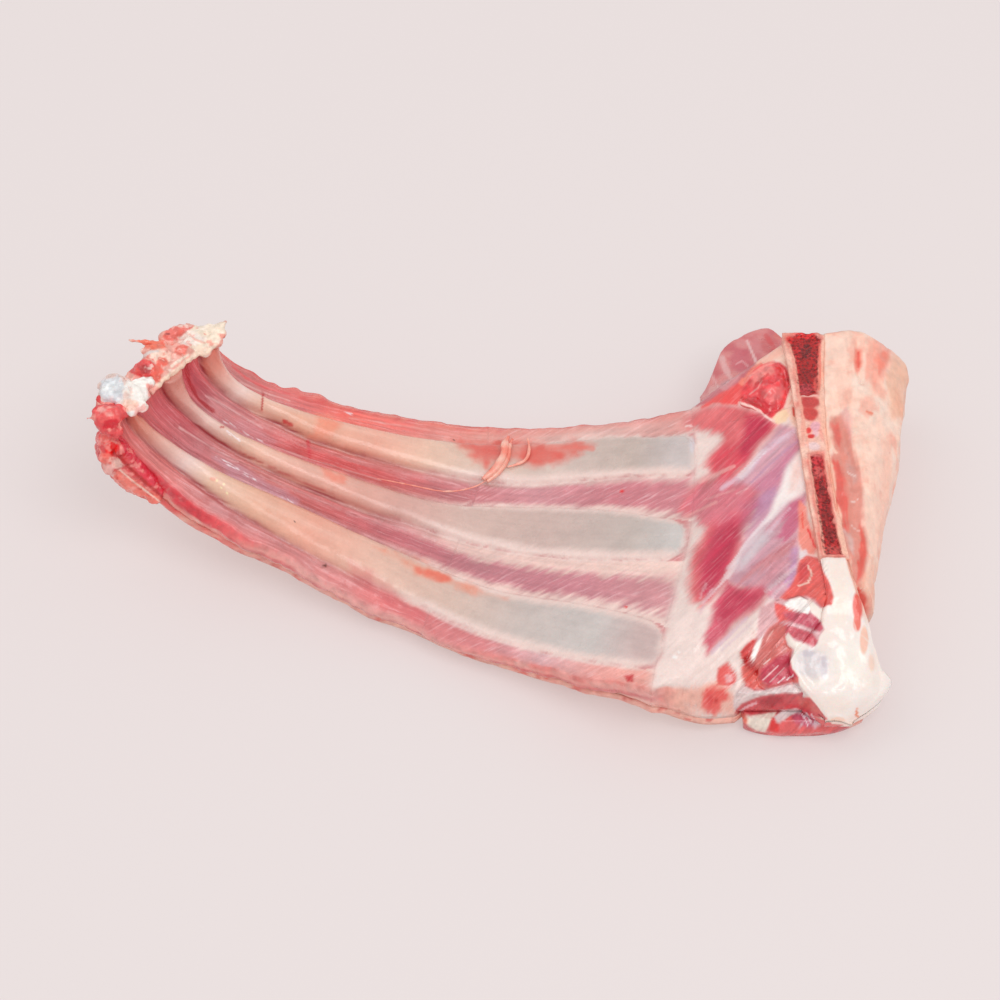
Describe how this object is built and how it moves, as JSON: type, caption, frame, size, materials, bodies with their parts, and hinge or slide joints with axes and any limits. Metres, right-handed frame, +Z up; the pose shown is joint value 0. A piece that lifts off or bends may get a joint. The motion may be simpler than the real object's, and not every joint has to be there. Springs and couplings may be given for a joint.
{
  "type": "raw lamb ribs",
  "caption": "Raw lamb ribs from the spine end to the split breastbone, lying hollow side up like a curved trough.",
  "frame": {"origin": "middle of the base, on the surface that the outer fat rests on", "axes": "+X from the spine end to the breastbone, +Y across the ribs to the far edge, +Z up out of the hollow side"},
  "size_m": [0.237, 0.1386, 0.0613],
  "materials": {
    "meat": "moist",
    "fat": "moist",
    "bone": "covered by thin membrane",
    "cartilage": "moist",
    "marrow": "spongy",
    "membrane": "moist"
  },
  "bodies": {
    "root": {"meat": "meat", "outer_fat": "fat", "rib_bone_1": "bone", "rib_bone_2": "bone", "rib_bone_3": "bone", "breastbone_far": "marrow", "breastbone_cartilage": "cartilage", "breastbone_near": "marrow", "breast_cartilage": "cartilage", "brisket_fat": "fat", "end_muscle": "meat", "lower_muscle": "meat", "skirt_muscle": "meat", "far_meat": "meat", "far_flap": "meat", "membrane_strand": "membrane", "spine_fat": "fat", "spine_cartilage": "cartilage", "spine_meat": "meat", "edge_meat": "meat"}
  },
  "joints": []
}
